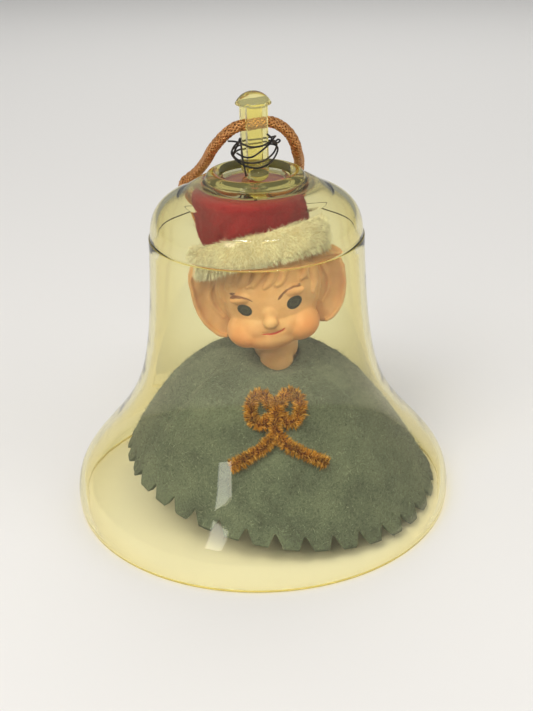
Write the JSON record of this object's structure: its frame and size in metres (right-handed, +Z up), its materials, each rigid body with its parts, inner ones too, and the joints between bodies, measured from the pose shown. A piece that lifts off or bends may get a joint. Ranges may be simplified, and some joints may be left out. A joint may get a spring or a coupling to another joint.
{
  "type": "christmas bell ornament",
  "caption": "Clear amber bell ornament with a felt-caped pixie doll hung inside as its clapper, and a braided cord loop through the hanger post on top.",
  "frame": {"origin": "centre of the bell's mouth, in the plane that the rim stands on", "axes": "+Z up along the bell's axis to the hanger, -Y towards the pixie's front, +X to its left hand"},
  "size_m": [0.0762, 0.0762, 0.0823],
  "materials": {
    "clear_plastic": "clear pale amber, polished, moulded",
    "clear_plastic_thick": "clear amber, polished, moulded, deeper where thick",
    "black_wire": "blackened annealed wire, satin",
    "braided_cord": "metallic copper-gold braid",
    "red_felt": "soft crimson felt",
    "cream_plush": "short cream plush pile",
    "doll_vinyl": "waxy moulded vinyl, painted features",
    "turned_wood": "turned, unfinished",
    "grey_card": "rolled grey card",
    "green_felt": "grey-green wool felt, pinked edge",
    "ochre_chenille": "chenille pile on a twisted wire"
  },
  "bodies": {
    "bell": {"bell_shell": "clear_plastic", "hanger_post": "clear_plastic_thick", "tie_wire": "black_wire"},
    "cord_loop": {"hanging_cord": "braided_cord", "cord_knot": "braided_cord"},
    "wire_swivel": {"suspension_wire": "black_wire"},
    "pixie": {"hat_felt": "red_felt", "hat_trim": "cream_plush", "head": "doll_vinyl", "neck_peg": "turned_wood", "body_form": "grey_card", "felt_cape": "green_felt", "bow_loops": "ochre_chenille", "bow_tails": "ochre_chenille"}
  },
  "joints": [
    {"name": "cord_flip", "type": "hinge", "parent": "bell", "child": "cord_loop", "pos_m": [0.0004, 0.0001, 0.0764], "axis": [0.9659, 0.2588, 0], "range_deg": [0, 140]},
    {"name": "pixie_turn", "type": "hinge", "parent": "bell", "child": "wire_swivel", "pos_m": [0, 0, 0.0656], "axis": [0, 0, 1], "range_deg": [-90, 90]},
    {"name": "pixie_swing", "type": "hinge", "parent": "wire_swivel", "child": "pixie", "pos_m": [0, 0, 0.064], "axis": [0, 1, 0], "range_deg": [0, 3]}
  ]
}
